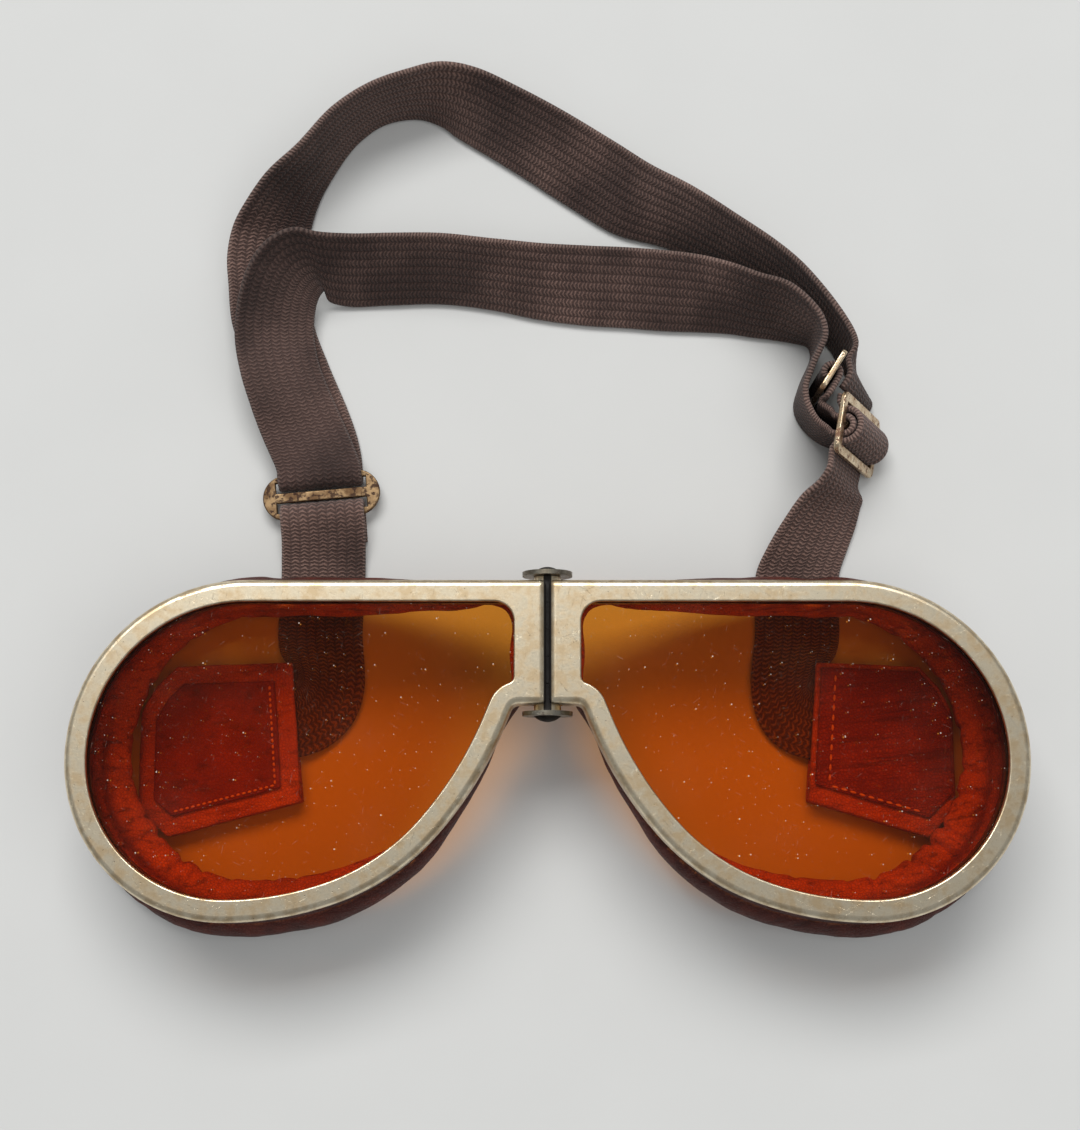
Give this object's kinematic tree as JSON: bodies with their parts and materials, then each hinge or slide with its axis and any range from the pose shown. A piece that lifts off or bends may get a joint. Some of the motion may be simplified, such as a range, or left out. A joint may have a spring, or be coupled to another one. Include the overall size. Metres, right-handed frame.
{
  "type": "flying goggles",
  "caption": "Hinged flying goggles with amber lenses in bright metal rims, vented leather cups on padded rolls, and an elastic strap with buckles.",
  "frame": {"origin": "middle of the footprint, on the surface that the cushions lie on", "axes": "+X towards the wearer's side of the buckle that stands on edge, +Y from the cheeks to the brow and on to the strap's loop, +Z out through the lenses"},
  "size_m": [0.1752, 0.1654, 0.027],
  "materials": {
    "rim_metal": "worn bright nickel plating",
    "lens_glass": "polished deep amber",
    "gasket_rubber": "matt",
    "retainer_steel": "plain",
    "cup_leather": "smooth, creased",
    "cushion_leather": "soft, creased",
    "tab_leather": "smooth",
    "patch_leather": "smooth, stitched",
    "webbing": "woven elastic",
    "pin_steel": "tarnished",
    "washer_steel": "tarnished",
    "pale_buckle": "pale gilt, rusted bar",
    "bright_buckle": "plated, rust spots"
  },
  "bodies": {
    "left_eyepiece": {"left_rim": "rim_metal", "left_lens": "lens_glass", "left_gasket": "gasket_rubber", "left_retainer": "retainer_steel", "left_cup": "cup_leather", "left_cushion": "cushion_leather", "left_tab": "tab_leather", "left_tab_patch": "patch_leather", "left_webbing": "webbing", "hinge_pin": "pin_steel", "upper_washer": "washer_steel", "lower_washer": "washer_steel", "long_strap": "webbing"},
    "right_eyepiece": {"right_rim": "rim_metal", "right_lens": "lens_glass", "right_gasket": "gasket_rubber", "right_retainer": "retainer_steel", "right_cup": "cup_leather", "right_cushion": "cushion_leather", "right_tab": "tab_leather", "right_tab_patch": "patch_leather", "right_webbing": "webbing"},
    "left_buckle": {"left_buckle": "pale_buckle"},
    "right_buckle": {"right_buckle": "bright_buckle"},
    "strap_slider": {"strap_slider": "bright_buckle"}
  },
  "joints": [
    {"name": "bridge_fold", "type": "hinge", "parent": "left_eyepiece", "child": "right_eyepiece", "pos_m": [0, -0.02003, 0.022], "axis": [0, 1, 0], "range_deg": [0, 48], "deforming": ["long_strap", "right_webbing"]},
    {"name": "left_buckle_swing", "type": "hinge", "parent": "left_eyepiece", "child": "left_buckle", "pos_m": [-0.04278, -0.00389, 0.0026], "axis": [0.9962, 0.0872, 0], "range_deg": [0, 50], "deforming": ["long_strap", "left_webbing"]},
    {"name": "right_buckle_slide", "type": "slide", "parent": "right_eyepiece", "child": "right_buckle", "axis": [-0.1736, -0.9848, 0], "range_m": [0, 0.006], "deforming": ["long_strap", "right_webbing"]},
    {"name": "slider_slide", "type": "slide", "parent": "left_eyepiece", "child": "strap_slider", "axis": [0.3697, 0.9292, 0], "range_m": [0, 0.005], "deforming": ["long_strap"]}
  ]
}
